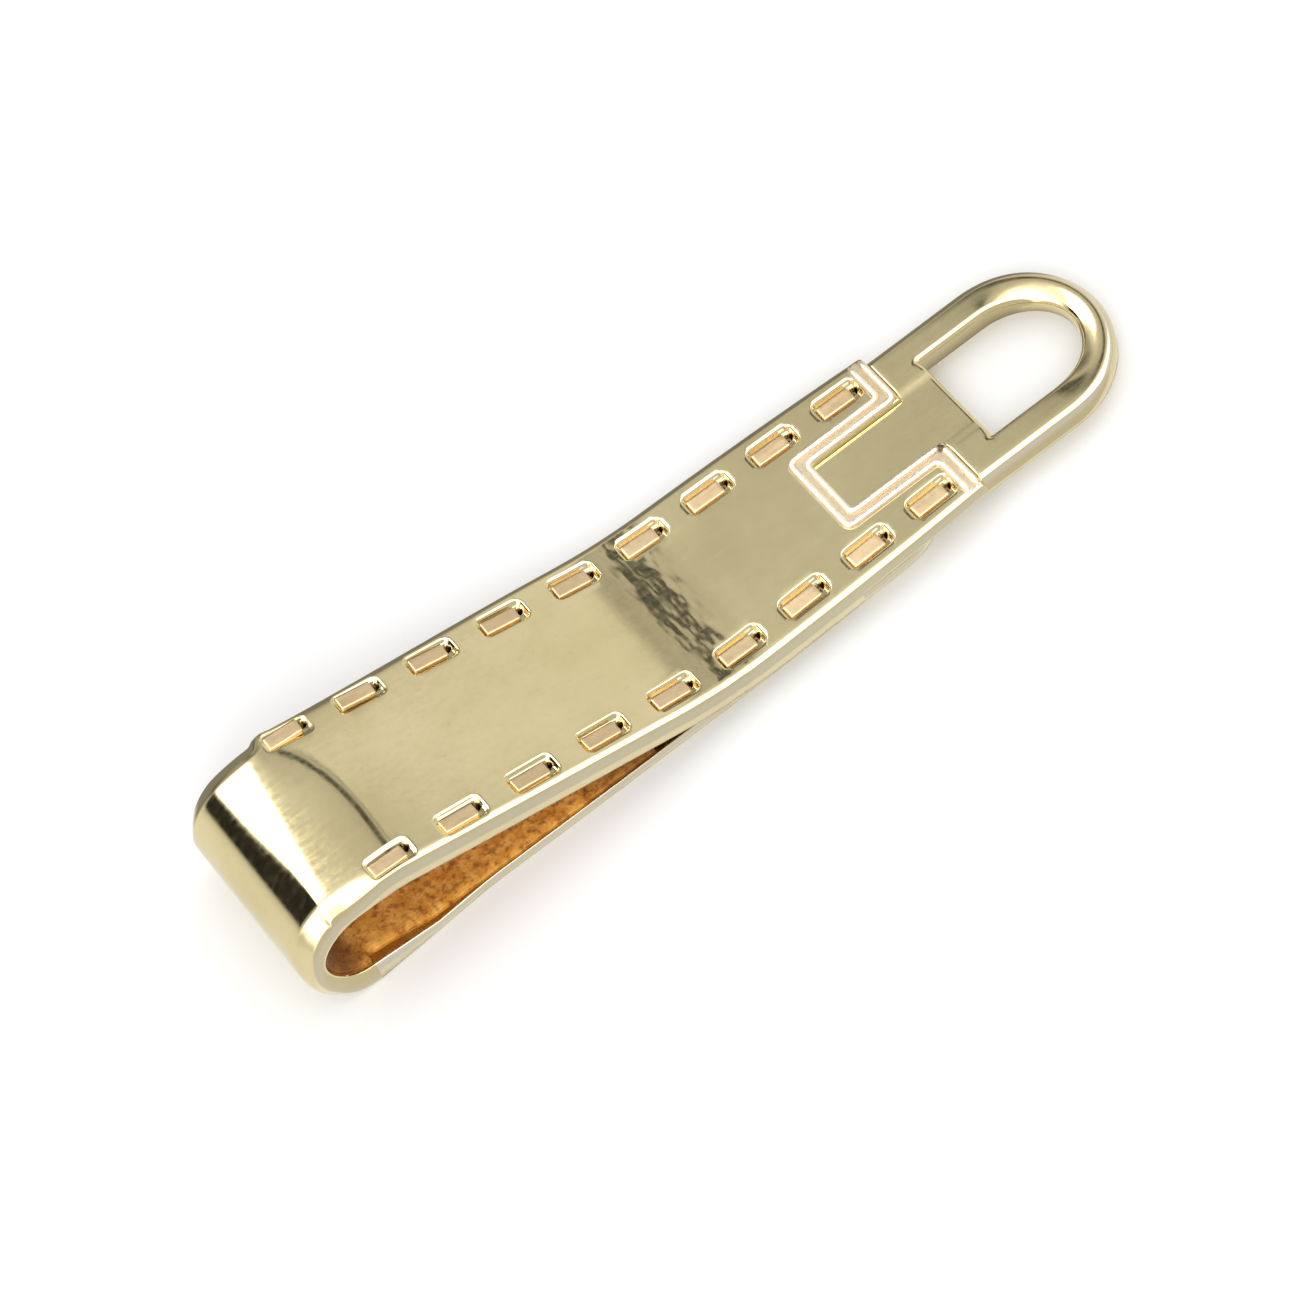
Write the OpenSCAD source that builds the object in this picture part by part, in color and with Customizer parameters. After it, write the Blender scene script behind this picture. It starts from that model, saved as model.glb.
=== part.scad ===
// Spring money clip: a strap with inlaid stitches and a D-shaped loop, over a flat spring leg.
// +X runs from the bend to the loop's tip, +Y across the strap, +Z up from the flat back leg.

/* [Clip] */
// Length over all, from the bend to the loop's tip
clip_length = 66; // [62:0.5:70]
// Outer radius of the bend, half the height at the bend
bend_radius = 4.15; // [4.1:0.05:4.4]
// Slope of the nearly level stretch beside the bend, in degrees
level_angle = 2; // [1:0.5:4]
// Where the level stretch gives way to the slope, from the bend
level_end = 8.8; // [8.4:0.1:9.4]
// Radius of the soft crest between them
crest_radius = 12; // [8:1:14]
// Slope of the front leg between the crest and the kink, in degrees
fall_angle = 13.2; // [12.8:0.1:14]
// Height of the front leg's upper face where it lies parallel to the back leg
flat_top = 2.65; // [2.6:0.05:2.8]
// Radius of the soft kink
kink_radius = 14; // [8:1:20]
// Thickness of the stitched strap plate
plate_t = 0.9; // [0.8:0.05:0.95]
// Thickness of the leg beneath the strap plate
under_t = 0.7; // [0.6:0.05:0.75]
// Thickness of the back leg
back_t = 0.7; // [0.6:0.05:0.75]
// Where the back leg's round end stops, from the bend
back_end = 51; // [48:0.5:52]

/* [Strap] */
// Half width where the strap leaves the bend
half_w_bend = 7.45; // [7.3:0.05:7.5]
// Half width at the kink, the strap's widest place
half_w_kink = 7.65; // [7.6:0.05:8]
// Half width at the ends of the tines
half_w_fork = 7.0; // [6.9:0.05:7.2]
// Where the tines end, from the bend
fork_end = 52.3; // [52.3:0.1:52.6]
// Where the notch between the tines starts
notch_start = 45.2; // [45:0.1:46]
// Half width of the notch
notch_half = 2.25; // [2:0.05:2.4]
// Width of one bead of the fork's border
bead_w = 0.5; // [0.4:0.05:0.5]
// Groove between the two beads
bead_gap = 0.3; // [0.2:0.05:0.3]
// Height of the beads above the strap plate
bead_h = 0.25; // [0.15:0.05:0.3]

/* [Stitches] */
// Stitches in one row
stitch_count = 9; // [6:1:9]
// Middle of the first stitch, from the bend
stitch_first = 8.5; // [8.4:0.1:8.6]
// Spacing of the stitches
stitch_pitch = 5.1; // [4.9:0.02:5.1]
// Length of one stitch
stitch_l = 3.1; // [2.6:0.1:3.2]
// Width of one stitch
stitch_w = 1.6; // [1.2:0.05:1.6]
// Depth of the slot that a stitch lies in
slot_depth = 0.45; // [0.3:0.05:0.5]
// Half spacing of the two rows at the first stitch
row_half_first = 6.2; // [6:0.05:6.2]
// Half spacing of the two rows at the last stitch
row_half_last = 5.15; // [5:0.05:5.3]

/* [Loop] */
// Half width of the loop
loop_half = 6.6; // [6.4:0.05:6.7]
// Height of the loop's rounded frame
loop_h = 1.4; // [1.3:0.05:1.5]
// Straight side of the D-shaped opening, from the bend
opening_start = 54.9; // [54.7:0.1:55.5]
// Half width of the opening
opening_half = 3.9; // [3.5:0.05:4]
// Width of the frame at the tip
tip_rim = 2; // [1.8:0.05:2.4]
// Depth of the floor between the tines, below the strap plate's face
floor_depth = 0.3; // [0.25:0.05:0.5]
// Radius of the rivets that hold the loop's tongue
rivet_r = 0.6; // [0.4:0.05:0.7]

/* [Lining] */
// Thickness of the lining in the jaw
lining_t = 0.3; // [0.2:0.05:0.3]
// Where the lining stops, from the bend
lining_end = 26; // [20:0.5:26.5]

/* [Hidden] */
$fn = 48;
// Running gap between the bend and the front leg's root
root_gap = 0.05;
// Air between a stitch and its slot
stitch_air = 0.04;
// Height of a stitch in its slot, and the radius of the slot's corners
stitch_h = slot_depth - 0.1;
slot_round = 0.3;
// Air between neighbouring pieces that are glued or soldered
seam = 0.01;
// Total thickness of the front leg
front_t = plate_t + under_t;
// Where the thick lip of the bend has tapered to the back leg's thickness
lip_end = 9;
// Where the leg beneath the strap plate meets the loop's tongue
tongue_start = 42;
// Length of the back leg's round end
back_round = 5;
// How far the back leg's edge lies inside the strap's, and where it has drawn in that far
back_inset = 0.7;
inset_end = 13;
// How far the back leg's lining lies inside the strap's edge
back_lining_inset = 1;
// Rivets of the loop's tongue: distance from the middle line, and from the notch
rivet_y = 3;
rivet_x = notch_start - 2.4;
// How far the rivets reach up into the strap plate
rivet_reach = 0.4;
// Steps in the curved outlines
steps = 8;
bend_mid = [bend_radius, bend_radius];
root = 90 - level_angle;
root_point = bend_mid + bend_radius * [cos(root), sin(root)];
// The point where the level stretch and the slope would meet without the crest
crest_point = [level_end, root_point[1] - (level_end - root_point[0]) * tan(level_angle)];
crest_reach = crest_radius * tan((fall_angle - level_angle) / 2);
crest_mid = crest_point - crest_reach * [cos(level_angle), -sin(level_angle)]
    - crest_radius * [cos(root), sin(root)];
// Centre of the kink's arc: it touches the slope and the flat
kink_x = level_end + (crest_point[1] - flat_top) / tan(fall_angle) + kink_radius * tan(fall_angle / 2);
kink_mid = [kink_x, flat_top + kink_radius];
// Undersides of the strap plate and of the leg, where they lie flat
plate_z = flat_top - plate_t;
under_z = flat_top - front_t;
// The loop's outer round end and the opening's inner one
tip_r = loop_half - 0.05;
tip_mid = clip_length - tip_r;
eye_mid = clip_length - tip_rim - opening_half;
// Broken edge of the loop, and the inset of its tongue
loop_edge = 0.3;
tongue_inset = 0.35;
// Clearance round the tongue's pad, which fills the notch up to its floor
pad_air = 0.04;

// Points of the front leg's line, t below its upper face, from the bend to x_end
function leg_line(t, x_end) = concat(
    [bend_mid + (bend_radius - t) * [cos(root), sin(root)]],
    [for (i = [0:steps]) let (a = root - (fall_angle - level_angle) * i / steps)
        crest_mid + (crest_radius - t) * [cos(a), sin(a)]],
    [for (i = [0:steps]) let (a = 270 - fall_angle * (1 - i / steps))
        kink_mid + (kink_radius + t) * [cos(a), sin(a)]],
    [[x_end, flat_top - t]]
);

// Height of the upper face at x
function top_z(x) =
    x > kink_mid[0] ? flat_top
    : x > kink_mid[0] - kink_radius * sin(fall_angle)
        ? kink_mid[1] - sqrt(kink_radius * kink_radius - pow(x - kink_mid[0], 2))
    : x > crest_mid[0] + crest_radius * sin(fall_angle)
        ? crest_point[1] - (x - level_end) * tan(fall_angle)
    : x > crest_mid[0] + crest_radius * sin(level_angle)
        ? crest_mid[1] + sqrt(crest_radius * crest_radius - pow(x - crest_mid[0], 2))
    : root_point[1] - (x - root_point[0]) * tan(level_angle);

// Slope of the upper face at x, in degrees
function top_slope(x) = atan((top_z(x + 0.1) - top_z(x - 0.1)) / 0.2);

// Half width of the strap at x
function half_w(x) =
    let (mid = (fork_end + bend_radius) / 2 + 2)
    x < mid
        ? half_w_kink - (half_w_kink - half_w_bend) * pow((mid - x) / (mid - bend_radius), 2)
        : half_w_kink - (half_w_kink - half_w_fork) * pow((x - mid) / (fork_end - mid), 2);

// Places where the outline of the strap has a point
function stations(a, b, n) = [for (i = [0:n]) a + (b - a) * i / n];

function stitch_x(i) = stitch_first + (i - 1) * stitch_pitch;
function row_half(i) =
    row_half_first - (row_half_first - row_half_last) * (i - 1) / (stitch_count - 1);
row_angle = atan((row_half_first - row_half_last) / ((stitch_count - 1) * stitch_pitch));

// Everything is drawn from the bend's outermost line and then centred
module placed() {
    translate([-clip_length / 2, 0, 0]) children();
}

// Solid between the lines t0 and t1 below the upper face
module leg_slab(t0, t1, x_end) {
    back = leg_line(t1, x_end);
    line = concat(leg_line(t0, x_end), [for (i = [len(back) - 1:-1:0]) back[i]]);
    translate([0, 10, 0]) rotate([90, 0, 0]) linear_extrude(20) polygon(line);
}

// Plan of the strap between a and b, d inside its edge
module strap_plan(a, b, d = 0) {
    xs = stations(a, b, 14);
    polygon(concat(
        [for (x = xs) [x, half_w(x) - d]],
        [for (i = [len(xs) - 1:-1:0]) [xs[i], d - half_w(xs[i])]]
    ));
}

// A bar along X with round corners, centred on its middle
module round_bar(l, w, h, r) {
    translate([-l / 2, r - w / 2, 0]) cube([l, w - 2 * r, h]);
    translate([r - l / 2, -w / 2, 0]) cube([l - 2 * r, w, h]);
    for (sx = [-1, 1]) for (sy = [-1, 1])
        translate([sx * (l / 2 - r), sy * (w / 2 - r), 0]) cylinder(h = h, r = r, $fn = 16);
}

// Sets a child on the upper face where stitch i of a row goes; side is 1 far, -1 near
module at_stitch(i, side) {
    x = stitch_x(i);
    translate([x, side * row_half(i), top_z(x)])
        rotate([0, -top_slope(x), -side * row_angle]) children();
}

module stitch(i, side) {
    color("#efd9a4") placed() at_stitch(i, side)
        translate([0, 0, stitch_air - slot_depth])
        round_bar(stitch_l - 2 * stitch_air, stitch_w - 2 * stitch_air, stitch_h, slot_round - stitch_air);
}

// Plan of everything beyond a line d inside the fork's edge
module fork_zone(d) {
    translate([notch_start - d, -notch_half - d]) square([20, 2 * (notch_half + d)]);
    translate([fork_end - d, -10]) square([20, 20]);
}

module front_leg() {
    color("#cdbf8c") placed() intersection() {
        leg_slab(plate_t + seam, front_t, tongue_start - seam);
        linear_extrude(20) strap_plan(bend_radius, tongue_start, 0.15);
    }
}

module strap_plate() {
    color("#d8cb9a") placed() difference() {
        intersection() {
            leg_slab(0, plate_t, fork_end);
            linear_extrude(20) strap_plan(bend_radius, fork_end);
        }
        translate([notch_start, -notch_half, -1]) cube([20, 2 * notch_half, 12]);
        for (side = [-1, 1]) for (i = [1:stitch_count])
            at_stitch(i, side) translate([0, 0, -slot_depth]) round_bar(stitch_l, stitch_w, 2, slot_round);
        rivet_pair(rivet_r + seam, 0, plate_z + rivet_reach + seam);
    }
}

module fork_bead(d0, d1) {
    intersection() {
        strap_plan(notch_start - 3, fork_end, 0.3);
        difference() {
            fork_zone(d1);
            fork_zone(d0);
        }
    }
}

module fork_border() {
    color("#ead9ae") placed() translate([0, 0, flat_top + seam]) linear_extrude(bead_h) {
        fork_bead(0.05, 0.05 + bead_w);
        fork_bead(0.05 + bead_w + bead_gap, 0.05 + 2 * bead_w + bead_gap);
    }
}

module loop_frame() {
    step = fork_end + 0.05;
    color("#cbbb86") placed() difference() {
        union() {
            // Tongue beneath the fork
            translate([0, 0, under_z]) linear_extrude(under_t - seam)
                strap_plan(tongue_start + seam, fork_end, tongue_inset);
            // Pad that fills the notch up to its floor
            translate([notch_start + pad_air, pad_air - notch_half, under_z])
                cube([8, 2 * (notch_half - pad_air), front_t - floor_depth]);
            // Bridge and arms
            translate([fork_end - 1, -loop_half, under_z])
                cube([tip_mid - fork_end + 1, 2 * loop_half, under_t - seam]);
            translate([step, -loop_half, under_z]) cube([tip_mid - step, 2 * loop_half, loop_h]);
            // Round end, with a broken upper edge
            translate([tip_mid, 0, under_z]) cylinder(h = loop_h - loop_edge, r = tip_r, $fn = 96);
            translate([tip_mid, 0, under_z + loop_h - loop_edge])
                cylinder(h = loop_edge, r1 = tip_r, r2 = tip_r - loop_edge, $fn = 96);
        }
        // The floor between the tines runs on to the opening
        translate([fork_end - 2, -notch_half, flat_top - floor_depth]) cube([6, 2 * notch_half, 3]);
        rivet_pair(rivet_r + seam, 0, plate_z);
        // D-shaped opening
        translate([opening_start, -opening_half, -1])
            cube([eye_mid - opening_start, 2 * opening_half, 6]);
        translate([eye_mid, 0, -1]) cylinder(h = 6, r = opening_half, $fn = 96);
    }
}

// Two pins up through the tongue into blind holes in the strap plate
module rivet_pair(r, z0, z1) {
    for (side = [-1, 1])
        translate([rivet_x, side * rivet_y, z0]) cylinder(h = z1 - z0, r = r);
}

module loop_rivets() {
    color("#b9a66c") placed() rivet_pair(rivet_r, under_z, plate_z + rivet_reach);
}

// A ring sector between two radii and two angles, across the strap
module bend_sector(r_in, r_out, a0, a1, w) {
    arc = stations(a0, a1, 24);
    line = concat(
        [for (a = arc) bend_mid + r_out * [cos(a), sin(a)]],
        [for (i = [len(arc) - 1:-1:0]) bend_mid + r_in * [cos(arc[i]), sin(arc[i])]]
    );
    translate([0, w, 0]) rotate([90, 0, 0]) linear_extrude(2 * w) polygon(line);
}

module spring_bend() {
    gap_angle = root_gap / bend_radius * 180 / PI;
    color("#d8cb9a") placed()
        bend_sector(bend_radius - front_t, bend_radius, root + gap_angle, 270, half_w_bend);
}

// Half width of the back leg at x
function back_half(x) = half_w(x) - back_inset * min(1, (x - bend_radius) / (inset_end - bend_radius));

// Plan of the back leg, with a round end
module back_plan() {
    xs = stations(bend_radius, back_end - back_round, 12);
    w_end = back_half(back_end - back_round);
    polygon(concat(
        [for (x = xs) [x, back_half(x)]],
        [for (a = [80:-10:-80]) [back_end - back_round * (1 - cos(a)), w_end * sin(a)]],
        [for (i = [len(xs) - 1:-1:0]) [xs[i], -back_half(xs[i])]]
    ));
}

module back_leg() {
    color("#c8b882") placed() intersection() {
        translate([0, 10, 0]) rotate([90, 0, 0]) linear_extrude(20) polygon([
            [bend_radius + seam, 0],
            [back_end + 1, 0],
            [back_end + 1, back_t],
            [lip_end, back_t],
            [bend_radius + seam, front_t]
        ]);
        linear_extrude(5) back_plan();
    }
}

module lining_front() {
    color("#c07a30") placed() intersection() {
        leg_slab(front_t + seam, front_t + seam + lining_t, kink_mid[0]);
        linear_extrude(20) strap_plan(bend_radius, lining_end, 0.5);
    }
}

module lining_bend() {
    r = bend_radius - front_t - seam;
    gap_angle = root_gap / (r - lining_t) * 180 / PI;
    color("#c07a30") placed() bend_sector(r - lining_t, r, root + gap_angle, 270, half_w_bend - 0.4);
}

module lining_back() {
    lift = seam;
    color("#c07a30") placed() intersection() {
        translate([0, 10, 0]) rotate([90, 0, 0]) linear_extrude(20) polygon([
            [bend_radius + seam, front_t + lift],
            [lip_end, back_t + lift],
            [lining_end, back_t + lift],
            [lining_end, back_t + lift + lining_t],
            [lip_end, back_t + lift + lining_t],
            [bend_radius + seam, front_t + lift + lining_t]
        ]);
        linear_extrude(5) strap_plan(bend_radius, lining_end, back_lining_inset);
    }
}

front_leg();
strap_plate();
fork_border();
loop_frame();
loop_rivets();
for (i = [1:stitch_count]) {
    stitch(i, 1);
    stitch(i, -1);
}
spring_bend();
back_leg();
lining_front();
lining_bend();
lining_back();
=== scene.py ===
import math

import bmesh
import bpy
import numpy as np
from mathutils import Matrix, Vector


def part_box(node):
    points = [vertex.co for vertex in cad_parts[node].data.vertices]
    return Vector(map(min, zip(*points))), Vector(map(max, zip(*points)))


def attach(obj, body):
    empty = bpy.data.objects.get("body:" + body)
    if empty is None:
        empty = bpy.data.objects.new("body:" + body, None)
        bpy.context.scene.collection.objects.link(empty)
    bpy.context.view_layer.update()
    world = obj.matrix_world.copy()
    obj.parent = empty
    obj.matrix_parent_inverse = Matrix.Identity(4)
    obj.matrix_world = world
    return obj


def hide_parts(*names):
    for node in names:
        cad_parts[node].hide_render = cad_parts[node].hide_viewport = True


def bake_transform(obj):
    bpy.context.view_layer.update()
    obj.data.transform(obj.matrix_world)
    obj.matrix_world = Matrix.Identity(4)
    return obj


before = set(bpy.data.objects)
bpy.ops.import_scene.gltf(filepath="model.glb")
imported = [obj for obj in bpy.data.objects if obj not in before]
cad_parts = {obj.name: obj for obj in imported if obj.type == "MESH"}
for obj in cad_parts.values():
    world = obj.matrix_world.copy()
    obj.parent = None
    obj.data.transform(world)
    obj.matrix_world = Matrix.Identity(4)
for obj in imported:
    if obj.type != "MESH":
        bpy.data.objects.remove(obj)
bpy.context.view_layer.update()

mm = 0.001  # shapes are worked out in millimetres and become metres in makeMesh
print("frame loaded,", len(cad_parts), "nodes")

# Places along the clip are counted from the bend's outermost line
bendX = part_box("spring_bend")[0].x / mm
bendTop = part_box("spring_bend")[1].z / mm
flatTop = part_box("fork_border")[0].z / mm - 0.01
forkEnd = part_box("strap_plate")[1].x / mm - bendX
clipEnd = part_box("loop_frame")[1].x / mm - bendX
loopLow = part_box("loop_frame")[0].z / mm
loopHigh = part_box("loop_frame")[1].z / mm
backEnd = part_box("back_leg")[1].x / mm - bendX


# Small helpers for material nodes


def addNode(tree, kind, **settings):
    made = tree.nodes.new(kind)
    for key, value in settings.items():
        setattr(made, key, value)
    return made


def feed(tree, node, **inputs):
    for key, value in inputs.items():
        socket = node.inputs[key.replace("_", " ")]
        if hasattr(value, "links"):
            tree.links.new(value, socket)
        else:
            socket.default_value = value
    return node


def noise(tree, vector, scale, detail=3.0, rough=0.55):
    made = addNode(tree, "ShaderNodeTexNoise")
    feed(tree, made, Vector=vector, Scale=scale, Detail=detail, Roughness=rough)
    return made.outputs["Fac"]


def ramp(tree, value, stops, mode="LINEAR"):
    made = addNode(tree, "ShaderNodeValToRGB")
    made.color_ramp.interpolation = mode
    made.color_ramp.elements[0].position = stops[0][0]
    made.color_ramp.elements[1].position = stops[-1][0]
    for place, _ in stops[1:-1]:
        made.color_ramp.elements.new(place)
    for element, (_, colour) in zip(made.color_ramp.elements, stops):
        element.color = (*colour, 1) if hasattr(colour, "__len__") else (colour, colour, colour, 1)
    tree.links.new(value, made.inputs["Fac"])
    return made.outputs["Color"]


def mapped(tree, value, low, high, outLow, outHigh):
    made = addNode(tree, "ShaderNodeMapRange", interpolation_type="SMOOTHSTEP")
    feed(tree, made, Value=value, From_Min=low, From_Max=high, To_Min=outLow, To_Max=outHigh)
    return made.outputs["Result"]


def math2(tree, what, a, b):
    made = addNode(tree, "ShaderNodeMath", operation=what)
    for socket, value in zip(made.inputs, (a, b)):
        if hasattr(value, "links"):
            tree.links.new(value, socket)
        else:
            socket.default_value = value
    return made.outputs[0]


def mixColour(tree, factor, a, b, how="MIX"):
    made = addNode(tree, "ShaderNodeMix", data_type="RGBA", blend_type=how)
    for index, value in ((0, factor), (6, a), (7, b)):
        if hasattr(value, "links"):
            tree.links.new(value, made.inputs[index])
        else:
            made.inputs[index].default_value = value
    return made.outputs[2]


def attribute(tree, name):
    return addNode(tree, "ShaderNodeAttribute", attribute_name=name).outputs["Fac"]


def newMaterial(name):
    made = bpy.data.materials.new(name)
    made.use_nodes = True
    return made, made.node_tree, made.node_tree.nodes["Principled BSDF"]


goldTones = {
    "strap": {"dark": (0.80, 0.67, 0.365), "light": (0.90, 0.775, 0.445), "rough": (0.07, 0.15)},
    "border": {"dark": (0.84, 0.69, 0.46), "light": (0.92, 0.80, 0.58), "rough": (0.38, 0.48)},
    "stitch": {"dark": (0.66, 0.48, 0.27), "light": (0.77, 0.59, 0.35), "rough": (0.30, 0.42)},
    "under": {"dark": (0.72, 0.60, 0.32), "light": (0.86, 0.74, 0.42), "rough": (0.16, 0.30)},
}
wearAndPaintedLight = {
    "tarnishAndShade": (0.10, 0.055, 0.022, 1),  # dark colour of the small flecks, also the painted shade in slots, pits, the fork's groove and the notch and opening walls
    "wearAndHighlight": (1.0, 0.945, 0.83, 1),  # pale colour of rubbed edges, also the painted highlight on slot rims, bead ridges and the loop's edge lines
    "cloudScale": 140,
    "fleckScale": 2300,
    "scratchScale": 900,
    "waveScale": 260,
    "waveDepth": 0.0000035,
    "scratchDepth": 0.0000012,
    "dentScale": 300,
    "kinkDepth": 0.00017,
    "kinkFrom": -0.0026,  # the creased stretch at the kink, in metres along the frame
    "kinkTo": 0.0018,
    "kinkFade": 0.0017,
}


def goldMaterial(name, tone, creased=False):
    material, tree, shader = newMaterial(name)
    place = addNode(tree, "ShaderNodeTexCoord").outputs["Object"]
    cloud = noise(tree, place, wearAndPaintedLight["cloudScale"], 4)
    fleck = noise(tree, place, wearAndPaintedLight["fleckScale"], 3)
    stretch = addNode(tree, "ShaderNodeMapping")
    feed(tree, stretch, Vector=place, Scale=(0.12, 3.0, 3.0))
    scratch = noise(tree, stretch.outputs["Vector"], wearAndPaintedLight["scratchScale"], 5, 0.7)
    colour = ramp(tree, cloud, [(0.32, tone["dark"]), (0.68, tone["light"])])
    colour = mixColour(tree, mapped(tree, fleck, 0.62, 0.78, 0, 0.07), colour, wearAndPaintedLight["tarnishAndShade"])
    # pale along edges: rubbed wear on the strap and back leg, painted highlight on slot rims, bead ridges
    # and the loop's edge lines
    wearAndHighlight = mapped(tree, attribute(tree, "edge"), 0.1, 1, 0, 0.9)
    colour = mixColour(tree, wearAndHighlight, colour, wearAndPaintedLight["wearAndHighlight"])
    # painted shade: darkens towards the dark colour wherever the shade attribute is set
    shadeMix = mapped(tree, attribute(tree, "paintedShade"), 0.1, 1, 0, 0.96)
    colour = mixColour(tree, shadeMix, colour, wearAndPaintedLight["tarnishAndShade"])
    tree.links.new(colour, shader.inputs["Base Color"])
    shader.inputs["Metallic"].default_value = 1.0
    streaks = math2(tree, "ADD", math2(tree, "MULTIPLY", scratch, 0.6), math2(tree, "MULTIPLY", fleck, 0.4))
    tree.links.new(mapped(tree, streaks, 0.35, 0.65, *tone["rough"]), shader.inputs["Roughness"])
    waves = addNode(tree, "ShaderNodeBump")
    feed(tree, waves, Height=noise(tree, place, wearAndPaintedLight["waveScale"], 2), Distance=wearAndPaintedLight["waveDepth"],
         Strength=1.0)
    last = addNode(tree, "ShaderNodeBump")
    feed(tree, last, Height=scratch, Distance=wearAndPaintedLight["scratchDepth"], Strength=1.0,
         Normal=waves.outputs["Normal"])
    if creased:  # small dents where the leg was folded
        apart = addNode(tree, "ShaderNodeSeparateXYZ")
        tree.links.new(place, apart.inputs[0])
        x = apart.outputs["X"]
        start = mapped(tree, x, wearAndPaintedLight["kinkFrom"], wearAndPaintedLight["kinkFrom"] + wearAndPaintedLight["kinkFade"], 0, 1)
        stop = mapped(tree, x, wearAndPaintedLight["kinkTo"] - wearAndPaintedLight["kinkFade"], wearAndPaintedLight["kinkTo"], 1, 0)
        mask = math2(tree, "MULTIPLY", start, stop)
        drawn = addNode(tree, "ShaderNodeMapping")
        feed(tree, drawn, Vector=place, Scale=(1.0, 0.5, 1.0))
        dents = noise(tree, drawn.outputs["Vector"], wearAndPaintedLight["dentScale"], 3, 0.6)
        dents = math2(tree, "MULTIPLY", mask, math2(tree, "SUBTRACT", dents, 0.5))
        dented = addNode(tree, "ShaderNodeBump")
        feed(tree, dented, Height=dents, Distance=wearAndPaintedLight["kinkDepth"], Strength=1.0,
             Normal=last.outputs["Normal"])
        last = dented
    tree.links.new(last.outputs["Normal"], shader.inputs["Normal"])
    return material


# Lining of the jaw: its colours, grain and size
lining = {
    "tan": (0.62, 0.26, 0.03),
    "light": (0.88, 0.47, 0.10),
    "deep": (0.13, 0.036, 0.004),
    "grain": (0.27, 0.085, 0.010),
    "napScale": 2100,
    "patchScale": 950,
    "napDepth": 0.00014,
    "thickness": 0.3,
    "end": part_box("lining_front")[1].x / mm - bendX,
}


def liningMaterial():
    material, tree, shader = newMaterial("tanNap")
    place = addNode(tree, "ShaderNodeTexCoord").outputs["Object"]
    patch = noise(tree, place, lining["patchScale"], 3, 0.6)
    nap = noise(tree, place, lining["napScale"], 4, 0.65)
    colour = ramp(tree, patch, [(0.24, lining["deep"]), (0.40, lining["tan"]), (0.66, lining["light"])])
    colour = mixColour(tree, mapped(tree, nap, 0.44, 0.68, 0, 0.8), colour, (*lining["grain"], 1))
    # painted shade: the nap darkens to the deep colour inside the bend and deep in the jaw
    shaded = mapped(tree, attribute(tree, "paintedShade"), 0, 1, 0, 0.85)
    colour = mixColour(tree, shaded, colour, (*lining["deep"], 1))
    tree.links.new(colour, shader.inputs["Base Color"])
    tree.links.new(mapped(tree, nap, 0.3, 0.7, 0.95, 0.8), shader.inputs["Roughness"])
    shader.inputs["Specular IOR Level"].default_value = 0.2
    shader.inputs["Sheen Weight"].default_value = 0.12
    shader.inputs["Sheen Roughness"].default_value = 0.5
    bump = addNode(tree, "ShaderNodeBump")
    feed(tree, bump, Height=nap, Distance=lining["napDepth"], Strength=0.8)
    tree.links.new(bump.outputs["Normal"], shader.inputs["Normal"])
    return material


polishedGold = goldMaterial("polishedGold", goldTones["strap"], creased=True)
loopGold = goldMaterial("loopGold", goldTones["strap"])
brightBorder = goldMaterial("brightBorder", goldTones["border"])
stitchGold = goldMaterial("stitchGold", goldTones["stitch"])
underside = goldMaterial("underside", goldTones["under"])
tanNap = liningMaterial()
print("materials made")


# Meshes from grids of points


def solidFromGrids(top, middle, bottom, keep=None, openStart=False, openEnd=False):
    # Upper face, lower face and a two-step wall round every open edge of the kept cells
    rows, cols = top.shape[:2]
    keep = np.ones((rows - 1, cols - 1), bool) if keep is None else keep
    count = rows * cols
    faces = []
    edges = {}
    for i, j in zip(*np.nonzero(keep)):
        a = int(i * cols + j)
        ring = [a, a + cols, a + cols + 1, a + 1]
        faces.append(ring)
        faces.append([2 * count + k for k in reversed(ring)])
        for k in range(4):
            edge = (ring[k], ring[(k + 1) % 4])
            if edge[::-1] in edges:
                del edges[edge[::-1]]
            else:
                edges[edge] = True
    for a, b in edges:
        atStart = openStart and max(a, b) < cols
        atEnd = openEnd and min(a, b) >= count - cols
        if not (atStart or atEnd):
            faces.append([b, a, count + a, count + b])
            faces.append([count + b, count + a, 2 * count + a, 2 * count + b])
    return np.concatenate([g.reshape(-1, 3) for g in (top, middle, bottom)]), faces


def makeMesh(name, parts, material, values=None, smoothAngle=55):
    points = []
    faces = []
    for somePoints, someFaces in parts:
        faces += [[k + len(points) for k in f] for f in someFaces]
        points += (np.asarray(somePoints) + [bendX, 0, 0]).tolist()
    mesh = bpy.data.meshes.new(name)
    mesh.from_pydata((np.array(points) * mm).tolist(), [], faces)
    for key, data in (values or {}).items():
        full = np.zeros(len(points), np.float32)
        full[: len(data)] = data
        mesh.attributes.new(key, "FLOAT", "POINT").data.foreach_set("value", full)
    work = bmesh.new()
    work.from_mesh(mesh)
    bmesh.ops.delete(work, geom=[v for v in work.verts if not v.link_faces], context="VERTS")
    bmesh.ops.remove_doubles(work, verts=work.verts, dist=1e-7)
    bmesh.ops.recalc_face_normals(work, faces=work.faces)
    work.to_mesh(mesh)
    work.free()
    mesh.shade_smooth()
    mesh.set_sharp_from_angle(angle=math.radians(smoothAngle))
    mesh.materials.append(material)
    piece = bpy.data.objects.new(name, mesh)
    bpy.context.scene.collection.objects.link(piece)
    return piece


def smooth(x, a, b):
    t = np.clip((x - a) / (b - a), 0, 1)
    return t * t * (3 - 2 * t)


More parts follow.
